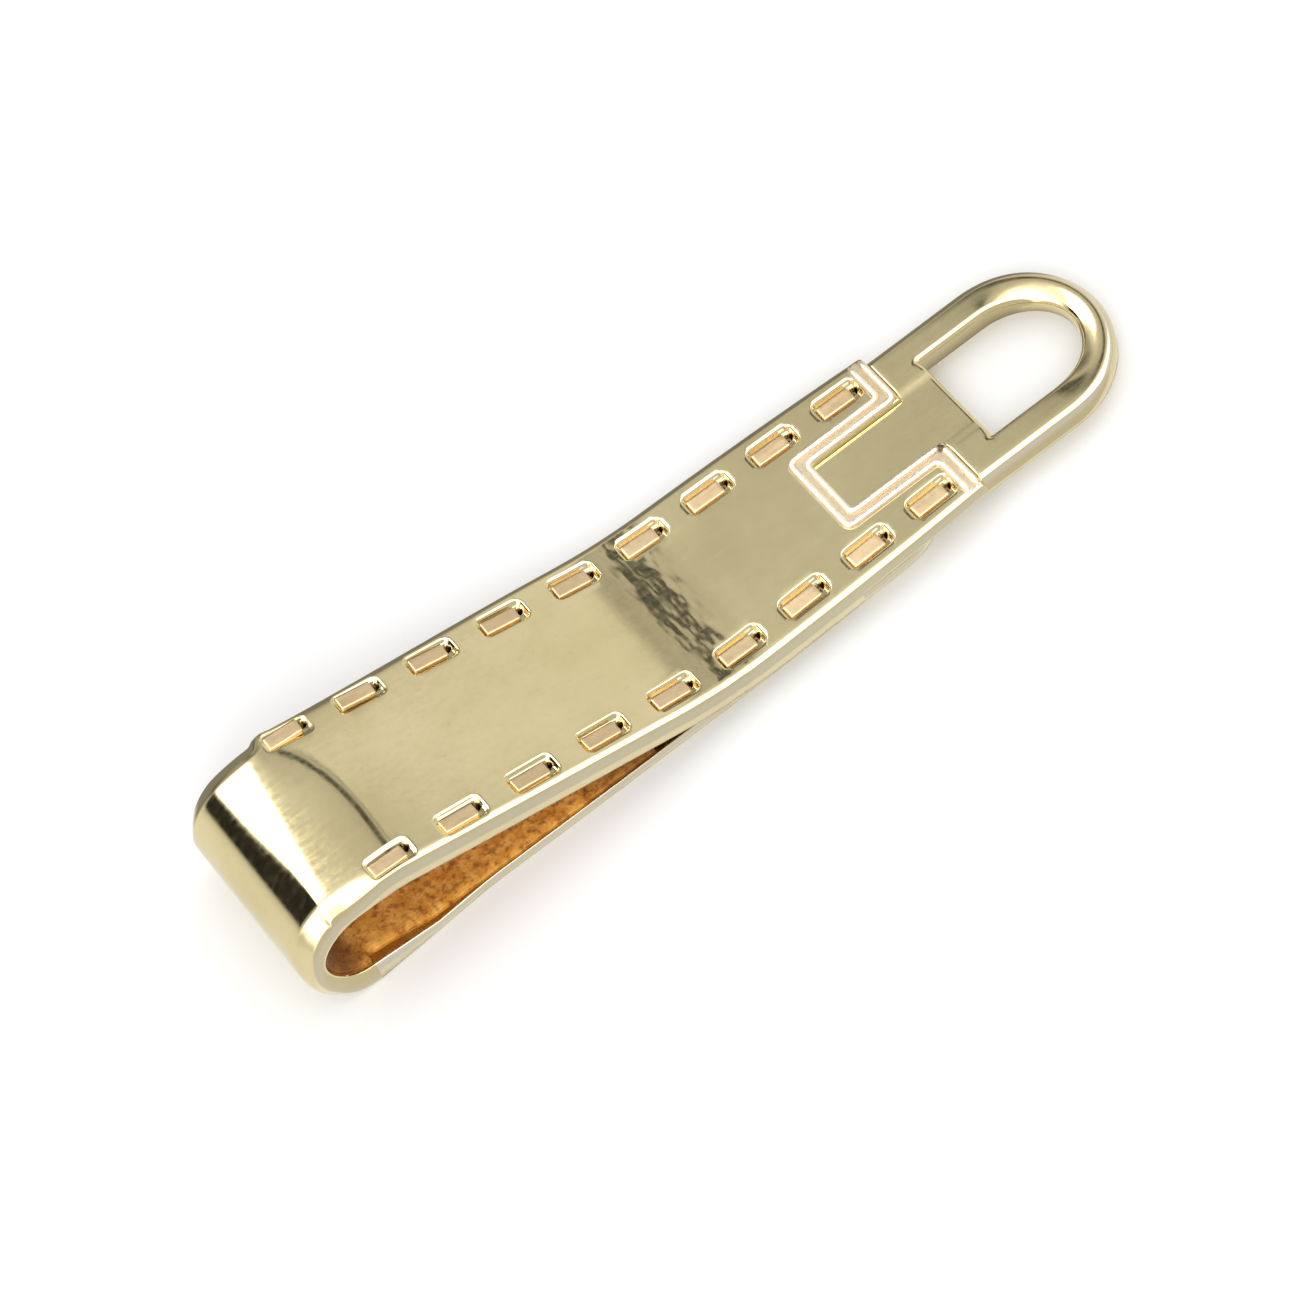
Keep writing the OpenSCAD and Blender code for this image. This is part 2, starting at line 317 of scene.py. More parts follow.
def rounding(t, r):
    # How far a face has dropped at distance t from its rounded edge of radius r
    t = np.clip(t, 0, r)
    return r - np.sqrt(np.maximum(r * r - (r - t) ** 2, 0))


def softBevel(t, width, slope):
    # How far a bevel of that width and slope has dropped at distance t from the edge
    return 0.05 * np.log1p(np.exp((width - t) * slope / 0.05))


# The strap with its bend, one strip

strapSize = {
    "bendReach": 5.0,  # how far the bend's upper quarter reaches along the clip
    "lowRadius": bendTop / 2,
    "places": [5.0, 8.6, 9.4, 28.1, 35.2],  # where the upper face's slope is given
    "slopes": [0.2, 4.2, 1.0, 1.0, 0.0],  # degrees, or a share of the main slope
    "thick": 1.6,
    "plate": 0.9,
    "plateFrom": 42.0,  # past here the loop's tongue lies beneath
    "halfAtBend": 7.45,
    "halfAtKink": 7.65,
    "halfAtFork": 7.0,
    "bevelHigh": 1.35,  # width of the bevel along the top of the bend
    "bevelLow": 0.2,
    "bevelSlope": 0.62,
    "bevelSoft": 0.09,
    "notchStart": 45.2,
    "notchHalf": 2.25,
    "edgeRound": 0.42,
    "edgeBevel": 0.5,  # width and slope of the soft bevel along both edges
    "edgeSlope": 0.34,
    "edgeRoundLow": 0.12,  # where the bend runs into the back leg
    "skewNear": -1.1,  # the bend turns tighter at its near end than at its far one
    "skewFar": 0.8,
    "crestSweep": 0.028,  # how strongly the crest sweeps back towards the far edge
    "crestSweepNear": 0.012,
}
slotSize = {
    "count": 9,
    "first": 8.5,
    "pitch": 5.1,
    "length": 3.3,
    "width": 1.75,
    "wall": 0.26,
    "depths": (0.11, 0.17, 0.25, 0.33, 0.42),  # shallower towards the bend
    "corner": 0.45,
    "onSlope": 5,  # slots that lie on the sloping part
    "halfFirst": 6.2,
    "halfLast": 5.15,
    "holeX": 1.12,
    "holeY": 0.12,
    "holeRadius": 0.30,
    "holeDepth": 0.75,
}


def halfWidth(x):
    s = strapSize
    mid = (forkEnd + s["lowRadius"]) / 2 + 2
    x = np.clip(x, s["lowRadius"], forkEnd)
    left = s["halfAtKink"] - (s["halfAtKink"] - s["halfAtBend"]) * ((mid - x) / (mid - s["lowRadius"])) ** 2
    right = s["halfAtKink"] - (s["halfAtKink"] - s["halfAtFork"]) * ((x - mid) / (forkEnd - mid)) ** 2
    return np.where(x < mid, left, right)


def rowHalf(x):
    s = slotSize
    run = s["pitch"] * (s["count"] - 1)
    return s["halfFirst"] - (s["halfFirst"] - s["halfLast"]) * np.clip((x - s["first"]) / run, -0.02, 1.2)


def solveSlope():
    # The main slope that brings the upper face from the bend down to the flat
    s = strapSize
    xs = np.arange(s["places"][0], s["places"][-1] + 0.005, 0.01)

    def heights(fall):
        angles = [a if k < 2 else a * fall for k, a in enumerate(s["slopes"])]
        steep = np.tan(np.radians(np.interp(xs, s["places"], angles)))
        drop = np.concatenate([[0], np.cumsum((steep[1:] + steep[:-1]) / 2 * 0.01)])
        return bendTop - drop

    low, high = 10.0, 16.0
    for _ in range(50):
        fall = (low + high) / 2
        if heights(fall)[-1] > flatTop:
            low = fall
        else:
            high = fall
    return xs, heights(fall), fall


lineX, lineZ, mainFall = solveSlope()
print("main slope of the front leg: %.2f degrees" % mainFall)


def faceHeight(x):
    return np.interp(x, lineX, lineZ)


def slotCentre(i):
    return slotSize["first"] + i * slotSize["pitch"]


def strapStations():
    s = slotSize
    offsets = [0.10, 0.03, -0.04, -0.10, -0.17, -0.24, -0.31, -0.38]
    xs = []
    for i in range(s["count"]):
        c, half = slotCentre(i), s["length"] / 2
        xs += [c - half - o for o in offsets] + [c + half + o for o in offsets]
        xs += [c + s["holeX"] + o for o in (-0.36, -0.30, -0.24, -0.16, 0, 0.16, 0.24)]
        xs += list(np.linspace(c - 1.0, c + 0.5, 5))
        if i < s["count"] - 1:
            gap = slotCentre(i + 1) - half - (c + half)
            xs += [c + half + gap * f for f in (0.2, 0.4, 0.6, 0.8)]
    n = strapSize["notchStart"]
    xs += [n - o for o in (0, 0.03, 0.08, 0.15)]
    xs += [forkEnd - o for o in (0, 0.02, 0.06, 0.12, 0.2, 0.3)]
    xs += list(np.arange(5.0, 6.8, 0.25)) + list(np.arange(27.8, 35.6, 0.25))
    xs += [strapSize["plateFrom"], strapSize["plateFrom"] + 0.02]
    xs = np.array(sorted(set(np.round([x for x in xs if 5.0 <= x <= forkEnd], 4))))
    fixed = [5.0, n, forkEnd, strapSize["plateFrom"], strapSize["plateFrom"] + 0.02]
    kept = []
    for x in xs:
        must = any(abs(x - f) < 1e-6 for f in fixed)
        if must and kept and x - kept[-1] < 0.018 and not any(abs(kept[-1] - f) < 1e-6 for f in fixed):
            kept[-1] = x
        elif must or not kept or x - kept[-1] > 0.028:
            kept.append(x)
    return np.array(kept)


def strapLines(x):
    # Places across the strap, from the near edge to the far one, at one place along it
    s, half, row = slotSize, float(halfWidth(x)), float(rowHalf(x))
    w = s["width"] / 2
    inner = [0, 0.75, 1.5, 2.0, 2.17, 2.22, 2.25, 2.29, 2.34, 2.42]
    gap = row - w - 0.10 - 2.42
    inner += [2.42 + gap * f for f in (0.25, 0.5, 0.75)]
    rows = [row + o for o in (-w - 0.10, -w - 0.03, -w + 0.04, -w + 0.10, -w + 0.17, -w + 0.24, -w + 0.31,
                              -w + 0.38, -0.36, -0.26, -0.16, -0.05, 0.07, 0.18, 0.28, 0.38,
                              w - 0.38, w - 0.31, w - 0.24, w - 0.17, w - 0.10, w - 0.04, w + 0.03)]
    last = rows[-1]
    room = half - last
    edge = [last + room * f for f in (0.22, 0.42, 0.6, 0.74, 0.85, 0.93, 0.975, 0.993, 1)]
    far = np.array(inner[1:] + rows + edge)
    return np.concatenate([-far[::-1], [0.0], far])


def barDistance(u, v, length, width, corner):
    # Distance outside a bar with round corners, negative inside
    a = np.abs(u) - length / 2 + corner
    b = np.abs(v) - width / 2 + corner
    outside = np.hypot(np.maximum(a, 0), np.maximum(b, 0))
    return outside + np.minimum(np.maximum(a, b), 0) - corner


def strapRail():
    # Stations round the bend and along the front leg: place, height and the face's normal
    s = strapSize
    r, reach = s["lowRadius"], s["bendReach"]
    low = []
    for t in np.radians(np.linspace(270, 180, 26)):
        low.append((r + r * math.cos(t), r + r * math.sin(t), math.cos(t), math.sin(t)))
    high = []
    for t in np.radians(np.linspace(180, 90, 44))[1:-1]:
        normal = Vector((math.cos(t) / reach, math.sin(t) / r)).normalized()
        high.append((reach + reach * math.cos(t), r + r * math.sin(t), normal.x, normal.y))
    xs = strapStations()
    step = 0.02
    slope = (faceHeight(xs + step) - faceHeight(xs - step)) / (2 * step)
    slope[0] = 0
    along = []
    for x, m in zip(xs, slope):
        length = math.hypot(m, 1)
        along.append((x, float(faceHeight(x)), -m / length, 1 / length))
    return np.array(low + high + along), len(low) + len(high)


def crestHeight(xGrid, across):
    # The crest sweeps back towards the far edge, and a little towards the near one
    far = strapSize["crestSweep"] * np.maximum(across + 1.5, 0) ** 2
    near = strapSize["crestSweepNear"] * np.maximum(-across - 1.5, 0) ** 2
    sweep = (far + near) * smooth(xGrid, 5.6, 8.0) * (1 - smooth(xGrid, 9, 29))
    return faceHeight(xGrid + sweep)


def edgeDrop(xGrid, zGrid, out, isAlong):
    # Rounded edges with a soft bevel, which is broad and steep at the bend
    s = strapSize
    rise = s["bevelHigh"] - s["bevelLow"]
    wide = np.where(isAlong, s["bevelHigh"], s["bevelLow"] + rise * smooth(zGrid, 1.5, 5.5))
    fade = np.where(isAlong, 1 - smooth(xGrid, 5.2, 7.4), smooth(zGrid, 0.0, 1.5))
    atLip = np.where(isAlong, 0, 1 - smooth(zGrid, 0.0, 2.0))
    corner = s["edgeRound"] + (s["edgeRoundLow"] - s["edgeRound"]) * atLip
    soft = s["bevelSoft"]
    bevel = soft * np.log1p(np.exp((wide - out) * s["bevelSlope"] / soft))
    drop = rounding(out, corner) + fade * bevel
    return drop + softBevel(out, s["edgeBevel"], s["edgeSlope"]) * isAlong * (1 - fade)


def cutSlots(xGrid, across, isAlong, drop, paintedShade, edge):
    # A slot for each stitch, with a pit at one end; rims get a painted highlight, pits and slot floors
    # painted shade
    k = slotSize
    lean = math.atan((k["halfFirst"] - k["halfLast"]) / (k["pitch"] * (k["count"] - 1)))
    for side in (-1, 1):
        for i in range(k["count"]):
            u = xGrid - slotCentre(i)
            if i < k["onSlope"]:
                u = u / math.cos(math.radians(mainFall))
            v = across - side * rowHalf(xGrid)
            d = barDistance(u * math.cos(lean), v, k["length"], k["width"], k["corner"])
            deepest = k["depths"][min(i, len(k["depths"]) - 1)]
            depth = deepest * smooth(-d, -0.07, k["wall"]) * isAlong
            pit = np.hypot(u - k["holeX"], v - k["holeY"]) - k["holeRadius"]
            pitDepth = (k["holeDepth"] - deepest) * smooth(-pit, -0.05, 0.08) * isAlong
            near = (np.abs(u) < 2.4) & (np.abs(v) < 1.3)
            drop = drop + np.where(near, depth + pitDepth, 0)
            # painted shade: the pit is dark, the slot's floor half as dark
            paintedShade = np.maximum(paintedShade, np.where(near, smooth(-pit, -0.08, 0.04) * isAlong, 0))
            paintedShade = np.maximum(paintedShade, np.where(near, 0.5 * smooth(-d, 0.18, k["wall"]) * isAlong, 0))
            # painted highlight along the slot's rim, brighter past the fourth slot
            rim = smooth(-d, -0.08, 0.02) * (1 - smooth(-d, 0.14, k["wall"]))
            wearAndHighlight = 0.5 if i > 3 else 0.15
            edge = np.maximum(edge, np.where(near, rim * isAlong * wearAndHighlight, 0))
    return drop, paintedShade, edge


def makeStrap():
    s = strapSize
    rail, turned = strapRail()
    isAlong = np.arange(len(rail))[:, None] >= turned
    across = np.array([strapLines(max(x, 5.0) if i >= turned else 5.0) for i, x in enumerate(rail[:, 0])])
    xGrid = np.repeat(rail[:, 0][:, None], across.shape[1], 1)
    zGrid = np.repeat(rail[:, 1][:, None], across.shape[1], 1)
    nx, nz = rail[:, 2][:, None], rail[:, 3][:, None]
    half = np.abs(across[:, -1])[:, None]
    zGrid = np.where(isAlong, crestHeight(xGrid, across), zGrid)
    out = half - np.abs(across)
    drop = edgeDrop(xGrid, zGrid, out, isAlong)
    edge = 0.5 * (1 - smooth(out, 0.05, 0.4))
    notch = np.maximum(s["notchStart"] - xGrid, np.abs(across) - s["notchHalf"])
    notch = np.where(isAlong & (xGrid > 40), notch, 9)
    drop = drop + rounding(np.abs(notch), 0.13) * (notch < 0.14)
    drop = drop + rounding(np.where(xGrid > 50, forkEnd - xGrid, 9), 0.25)
    drop, paintedShade, edge = cutSlots(xGrid, across, isAlong, drop, np.zeros_like(xGrid), edge)
    skew = s["skewNear"] + (s["skewFar"] - s["skewNear"]) * (across / half + 1) / 2
    skew = skew * smooth(xGrid, 2.4, 4.8) * (1 - smooth(xGrid, 5.0, 6.8)) * (zGrid > s["lowRadius"])
    thick = np.where(rail[:, 0] < s["plateFrom"] + 0.01, s["thick"], s["plate"])[:, None]
    acrossLow = across * (np.clip(half - 0.12, 0, None) / half)
    top = np.stack([xGrid - nx * drop + skew, across, zGrid - nz * drop], -1)
    middle = np.stack([xGrid - nx * (thick - 0.15), across, zGrid - nz * (thick - 0.15)], -1)
    bottom = np.stack([xGrid - nx * thick, acrossLow, zGrid - nz * thick], -1)
    midX = (xGrid[:-1, :-1] + xGrid[1:, 1:]) / 2
    midY = (across[:-1, :-1] + across[1:, 1:]) / 2
    cells = ~((midX > s["notchStart"]) & (np.abs(midY) < s["notchHalf"]) & isAlong[:-1])
    solid = solidFromGrids(top, middle, bottom, cells)
    # painted shade down the walls of the notch
    wall = (np.abs(notch) < 0.2) * 0.6
    paintedShade = np.concatenate([paintedShade.ravel(), wall.ravel(), wall.ravel()])
    piece = makeMesh("strap", [solid], polishedGold, {"paintedShade": paintedShade, "edge": edge.ravel()}, 60)
    return piece, rail, turned



strap, rail, turned = makeStrap()
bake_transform(strap)
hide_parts("strap_plate", "front_leg", "spring_bend")
print("strap:", len(strap.data.polygons), "faces")


# Stitches, one bar in each slot

stitchSize = {
    "length": 2.45,
    "width": 1.12,
    "height": 0.34,
    "sink": 0.21,  # how far the bar's middle lies below the strap's face
    "shift": -0.28,  # towards the bend, which leaves the pit free
    "aside": -0.10,  # towards the near wall of the slot
}


def addSocket(tree, name, kind, value):
    made = tree.interface.new_socket(name=name, in_out="INPUT", socket_type=kind)
    if value is not None:
        made.default_value = value
        made.min_value = 0.0
    return made.identifier


def stitchTree():
    tree = bpy.data.node_groups.new("stitchRows", "GeometryNodeTree")
    tree.interface.new_socket(name="Places", in_out="INPUT", socket_type="NodeSocketGeometry")
    tree.interface.new_socket(name="Stitches", in_out="OUTPUT", socket_type="NodeSocketGeometry")
    names = {key: addSocket(tree, key, "NodeSocketFloat", stitchSize[key] * mm)
             for key in ("length", "width", "height")}
    names["finish"] = addSocket(tree, "finish", "NodeSocketMaterial", None)
    start = tree.nodes.new("NodeGroupInput")
    end = tree.nodes.new("NodeGroupOutput")
    size = tree.nodes.new("ShaderNodeCombineXYZ")
    for key, socket in zip(("length", "width", "height"), size.inputs):
        tree.links.new(start.outputs[key], socket)
    bar = tree.nodes.new("GeometryNodeMeshCube")
    feed(tree, bar, Size=size.outputs[0], Vertices_X=5, Vertices_Y=3, Vertices_Z=3)
    soft = tree.nodes.new("GeometryNodeSubdivisionSurface")
    feed(tree, soft, Mesh=bar.outputs["Mesh"], Level=2, Edge_Crease=0.55)
    turn = addNode(tree, "GeometryNodeInputNamedAttribute", data_type="FLOAT_VECTOR")
    turn.inputs["Name"].default_value = "turn"
    laid = tree.nodes.new("GeometryNodeInstanceOnPoints")
    feed(tree, laid, Points=start.outputs["Places"], Instance=soft.outputs["Mesh"],
         Rotation=turn.outputs["Attribute"])
    real = tree.nodes.new("GeometryNodeRealizeInstances")
    tree.links.new(laid.outputs["Instances"], real.inputs["Geometry"])
    shade = tree.nodes.new("GeometryNodeSetShadeSmooth")
    tree.links.new(real.outputs["Geometry"], shade.inputs["Geometry"])
    paint = tree.nodes.new("GeometryNodeSetMaterial")
    feed(tree, paint, Geometry=shade.outputs["Geometry"], Material=start.outputs["finish"])
    tree.links.new(paint.outputs["Geometry"], end.inputs["Stitches"])
    return tree, names


def bake(holder, tree, values, name):
    modifier = holder.modifiers.new("made", "NODES")
    modifier.node_group = tree
    for identifier, value in values.items():
        modifier[identifier] = value
    bpy.context.view_layer.update()
    graph = bpy.context.evaluated_depsgraph_get()
    mesh = bpy.data.meshes.new_from_object(holder.evaluated_get(graph), depsgraph=graph)
    holder.modifiers.remove(modifier)
    bpy.data.objects.remove(holder)
    mesh.name = name
    piece = bpy.data.objects.new(name, mesh)
    bpy.context.scene.collection.objects.link(piece)
    return piece


def makeStitches():
    k, s = slotSize, stitchSize
    lean = math.atan((k["halfFirst"] - k["halfLast"]) / (k["pitch"] * (k["count"] - 1)))
    places, turns = [], []
    for side in (1, -1):
        for i in range(k["count"]):
            c = slotCentre(i)
            x = c + s["shift"]
            ends = faceHeight(np.array([x - 1.2, x + 1.2]))
            pitch = math.atan2(float(ends[0] - ends[1]), 2.4)
            z = float(ends.mean()) - s["sink"] * math.cos(pitch)
            places.append(((bendX + x) * mm, (side * float(rowHalf(x)) + s["aside"]) * mm, z * mm))
            turns.append((0, pitch, -side * lean))
    mesh = bpy.data.meshes.new("stitchPlaces")
    mesh.from_pydata(places, [], [])
    mesh.attributes.new("turn", "FLOAT_VECTOR", "POINT").data.foreach_set("vector", np.ravel(turns))
    holder = bpy.data.objects.new("stitchPlaces", mesh)
    bpy.context.scene.collection.objects.link(holder)
    tree, names = stitchTree()
    values = {names[key]: s[key] * mm for key in ("length", "width", "height")}
    values[names["finish"]] = stitchGold
    return bake(holder, tree, values, "stitches")


stitches = makeStitches()
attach(stitches, "front")
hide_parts(*[f"stitch_{row}_{i + 1}" for row in ("far", "near")
                        for i in range(slotSize["count"])])
print("stitches:", len(stitches.data.polygons), "faces")


# Doubled bead round the fork

beadSize = {
    "width": 0.56,
    "height": 0.27,
    "sink": 0.12,
    "first": 0.32,
    "second": 1.08,
    "corner": 0.55,
    "ground": 0.03,
    "pit": (-0.45, -2.75),  # dark spot at the near tine's inner corner, from the fork's end
}


def roundPath(points, radius, steps=6):
    made = [np.array(points[0], float)]
    for a, b, c in zip(points, points[1:], points[2:]):
        a, b, c = (np.array(p, float) for p in (a, b, c))
        p = b + (a - b) / np.linalg.norm(a - b) * radius
        q = b + (c - b) / np.linalg.norm(c - b) * radius
        for t in np.linspace(0, 1, steps):
            made.append((1 - t) ** 2 * p + 2 * t * (1 - t) * b + t * t * q)
    return np.array(made + [np.array(points[-1], float)])


def makeBead(inset, width, height):
    b, s = beadSize, strapSize
    x0, x1, y = s["notchStart"] - inset, forkEnd - inset, s["notchHalf"] + inset
    outer = float(halfWidth(x1)) - 0.42
    path = roundPath([(x1, outer), (x1, y), (x0, y), (x0, -y), (x1, -y), (x1, -outer)], b["corner"])
    dense = []
    for p, q in zip(path, path[1:]):
        count = max(1, int(np.linalg.norm(q - p) / 0.3))
        dense += [p + (q - p) * t / count for t in range(count)]
    path = np.array(dense + [path[-1]])
    ahead = np.gradient(path, axis=0)
    ahead /= np.linalg.norm(ahead, axis=1)[:, None]
    side = np.stack([-ahead[:, 1], ahead[:, 0]], 1)
    taper = np.ones(len(path))
    taper[[0, -1]] = 0.25
    taper[[1, -2]] = 0.75
    angles = np.linspace(0, math.pi, 9)
    ring = [(math.cos(a) * width / 2, math.sin(a) ** 1.25 * height) for a in angles]
    ring += [(-width / 2, -b["sink"]), (width / 2, -b["sink"])]
    rings = np.array([[(p[0] + n[0] * u * t, p[1] + n[1] * u * t, flatTop + h * (t if h > 0 else 1))
                       for u, h in ring] for p, n, t in zip(path, side, taper)])
    rows, cols = rings.shape[:2]
    faces = [[i * cols + j, (i + 1) * cols + j, (i + 1) * cols + (j + 1) % cols, i * cols + (j + 1) % cols]
             for i in range(rows - 1) for j in range(cols)]
    faces += [list(range(cols)), [(rows - 1) * cols + j for j in reversed(range(cols))]]
    return rings.reshape(-1, 3), faces


beads = [makeBead(beadSize[key], beadSize["width"], beadSize["height"]) for key in ("first", "second")]
ground = makeBead((beadSize["first"] + beadSize["second"]) / 2, 1.2, beadSize["ground"])


def borderValues(parts):
    # The ridges get a painted highlight, the groove painted shade, and one corner a dark spot
    edge, paintedShade = [], []
    spot = np.array([forkEnd + beadSize["pit"][0], beadSize["pit"][1]])
    for index, (points, _) in enumerate(parts):
        ridgeHighlight = smooth(points[:, 2] - flatTop, 0.5 * beadSize["height"], 0.95 * beadSize["height"])
        dark = 1 - smooth(np.hypot(*(points[:, :2] - spot).T), 0.16, 0.42)
        edge.append(ridgeHighlight * 0.8)
        paintedShade.append(np.maximum(dark, 0.5 if index == 2 else 0.0))
    return {"edge": np.concatenate(edge), "paintedShade": np.concatenate(paintedShade)}


forkBorder = makeMesh("forkBorder", [*beads, ground], brightBorder, borderValues([*beads, ground]))
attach(forkBorder, "front")
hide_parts("fork_border")
print("fork border:", len(forkBorder.data.polygons), "faces")


# Loop with its opening, sunk floor and tongue

loopSize = {
    "start": forkEnd + 0.05,
    "half": 6.6,
    "openStart": 54.9,
    "openHalf": 3.9,
    "turn": 59.6,  # where the straight arms give way to the round end
    "tipRim": 2.0,
    "outerRound": 0.75,
    "outerRoundTip": 0.4,
    "innerRound": 0.45,
    "padRound": 0.22,
    "tipBevel": 1.25,  # width of the sloping inner part of the round end
    "tipSlope": 0.27,
    "shoulder": (2.1, 3.3),  # where the sunk floor rises to the shoulders
    "floor": 0.3,
    "padHalf": 2.21,
    "tongueStart": 42.02,
    "tongueInset": 0.35,
    "tongueTop": 0.69,
    "lowInset": 0.14,  # bevel round the lower edge, and its height
    "lowRim": 0.16,
    "padLift": 0.3,  # the underside of the floor between the tines lies this much higher
}


def armLines():
    s = loopSize
    inner = [s["openHalf"] + o for o in (0, 0.01, 0.04, 0.09, 0.16, 0.25, 0.37, 0.5)]
    outer = [s["half"] - o for o in (0.78, 0.6, 0.45, 0.32, 0.21, 0.12, 0.05, 0.012, 0)]
    return inner + [4.9, 5.4] + outer


def bodyStations():
    start, opening = loopSize["start"], loopSize["openStart"]
    xs = [strapSize["notchStart"] + 0.04 + o for o in (0, 0.05, 1.5, 3.0, 4.5, 6.0)]
    xs += [start - 0.03, start, start + 0.04, start + 0.14, start + 0.5, start + 1.2, opening - 0.8]
    xs += [opening - o for o in (0.6, 0.37, 0.25, 0.16, 0.09, 0.04, 0.01, 0)]
    xs += [opening + 0.05, opening + 0.5, opening + 1.5, opening + 3.0, loopSize["turn"]]
    return np.array(xs)


def loopTop(outerGap, innerGap, outerRound, innerRound):
    bevel = softBevel(outerGap, strapSize["edgeBevel"], strapSize["edgeSlope"])
    return loopHigh - rounding(outerGap, outerRound) - rounding(innerGap, innerRound) - bevel


def litEdgeShadedWall(edge, shadedWall):
    # Painted highlight along a line near the outer edge, painted shade brown down the wall of the opening
    plain = np.zeros_like(shadedWall)
    return [edge, plain, plain], [shadedWall * 0.25, shadedWall * 0.55, shadedWall * 0.6]


def highlightLine(gap):
    return 1 - smooth(np.abs(gap - 0.3), 0.05, 0.3)


def loopBody():
    # Sunk floor between the tines, shoulders beside it and both straight arms
    s = loopSize
    start, opening = s["start"], s["openStart"]
    far = [0.9, 1.7, s["padHalf"], 2.3, 2.45, 2.6, 2.75, 2.9, 3.05, 3.2, 3.35, 3.75] + armLines()
    ys = np.array([-y for y in reversed(far)] + [0.0] + far)
    xGrid, yGrid = np.meshgrid(bodyStations(), ys, indexing="ij")
    isPad = xGrid < start - 0.01
    sunk = np.where(isPad, 1, 1 - smooth(np.abs(yGrid), *s["shoulder"])) * (xGrid < opening + 0.001)
    beside = np.abs(yGrid) - s["openHalf"]
    innerGap = np.where(xGrid <= opening, np.hypot(opening - xGrid, np.maximum(beside, 0)), beside)
    corner = smooth(np.abs(yGrid), s["openHalf"] - 0.4, s["openHalf"] + 0.3)
    innerRound = s["padRound"] + (s["innerRound"] - s["padRound"]) * corner
    innerRound = np.where(xGrid > opening, s["innerRound"], innerRound)
    outerGap = s["half"] - np.abs(yGrid)
    zGrid = loopTop(outerGap, np.maximum(innerGap, 0), s["outerRound"], innerRound)
    zGrid = zGrid - rounding(np.maximum(xGrid - start, 0), 0.08) * (xGrid >= start) * (1 - sunk)
    floor = flatTop - s["floor"] - rounding(np.maximum(innerGap, 0), s["padRound"])
    zGrid = zGrid + (floor - zGrid) * sunk
    lowY = np.where(np.abs(yGrid) > s["openHalf"] + 0.2, yGrid * (1 - s["lowInset"] / s["half"]), yGrid)
    lowX = np.where((xGrid <= opening) & (xGrid > opening - 0.3), xGrid - 0.02, xGrid)
    lift = np.where(isPad, s["padLift"], 0.0)
    top = np.stack([xGrid, yGrid, zGrid], -1)
    middle = np.stack([xGrid, yGrid, np.full_like(xGrid, loopLow + s["lowRim"]) + lift], -1)
    bottom = np.stack([lowX, lowY, np.full_like(xGrid, loopLow) + lift], -1)
    midX = (xGrid[:-1, :-1] + xGrid[1:, 1:]) / 2
    midY = np.abs(yGrid[:-1, :-1] + yGrid[1:, 1:]) / 2
    pad = (midX < start) & (midY < s["padHalf"])
    shoulders = (midX > start) & (midX < opening)
    arms = (midX > opening) & (midY > s["openHalf"])
    # painted highlight along a line just inside the outer edge, left off the sunk floor
    edge = np.where(sunk > 0.01, 0, highlightLine(outerGap) * 0.6)
    # painted shade down the walls of the opening
    shadedWall = (np.abs(innerGap) < 0.02) * (xGrid > opening - 0.03) * 1.0
    solid = solidFromGrids(top, middle, bottom, pad | shoulders | arms, openEnd=True)
    return solid, *litEdgeShadedWall(edge, shadedWall)


def loopTip():
    # Round end, from the far arm to the near one, with a sloping inner part
    s = loopSize
    arm = np.array(armLines())
    gap = s["half"] - s["openHalf"]
    share = (arm - s["openHalf"]) / (s["half"] - s["openHalf"])
    angles = np.radians(np.linspace(90, -90, 49))
    cosTurn, sinTurn = np.cos(angles)[:, None], np.sin(angles)[:, None]
    outerX, innerX = clipEnd - s["turn"], clipEnd - s["tipRim"] - s["turn"]

    def grid(shares, height):
        x = s["turn"] + cosTurn * (innerX + (outerX - innerX) * shares)
        y = sinTurn * (s["openHalf"] + (s["half"] - s["openHalf"]) * shares)
        return np.stack([x, y, np.broadcast_to(height, x.shape)], -1)

    atTip = smooth(cosTurn, 0, 0.8)
    width = (gap + (s["tipRim"] - gap) * cosTurn ** 2) * np.ones_like(share)
    outerRound = s["outerRound"] + (s["outerRoundTip"] - s["outerRound"]) * atTip
    bevel = atTip * softBevel(share * width, s["tipBevel"], s["tipSlope"])
    height = loopTop((1 - share) * width, share * width, outerRound, s["innerRound"]) - bevel
    lowArm = np.where(arm > s["openHalf"] + 0.2, arm * (1 - s["lowInset"] / s["half"]), arm)
    lowShare = (lowArm - s["openHalf"]) / gap
    solid = solidFromGrids(grid(share, height), grid(share, loopLow + s["lowRim"]), grid(lowShare, loopLow),
                           openStart=True, openEnd=True)
    # painted highlight near the outer edge and painted shade down the inner wall, as on the arms
    return solid, *litEdgeShadedWall(highlightLine((1 - share) * width) * 0.6, (share * width < 0.02) * 1.0)


def loopTongue():
    # Flat tongue beneath the fork
    s = loopSize
    xs = np.array([s["tongueStart"], s["tongueStart"] + 0.05, 45, 48, 51, s["start"] + 0.4])
    spread = np.linspace(-1, 1, 9)
    xGrid = np.repeat(xs[:, None], len(spread), 1)
    yGrid = (halfWidth(xs) - s["tongueInset"])[:, None] * spread[None, :]
    yGrid = np.minimum(np.maximum(yGrid, -s["half"] + 0.05), s["half"] - 0.05)
    return solidFromGrids(np.stack([xGrid, yGrid, np.full_like(xGrid, loopLow + s["tongueTop"])], -1),
                          np.stack([xGrid, yGrid, np.full_like(xGrid, loopLow + 0.15)], -1),
                          np.stack([xGrid, yGrid * 0.985, np.full_like(xGrid, loopLow)], -1))


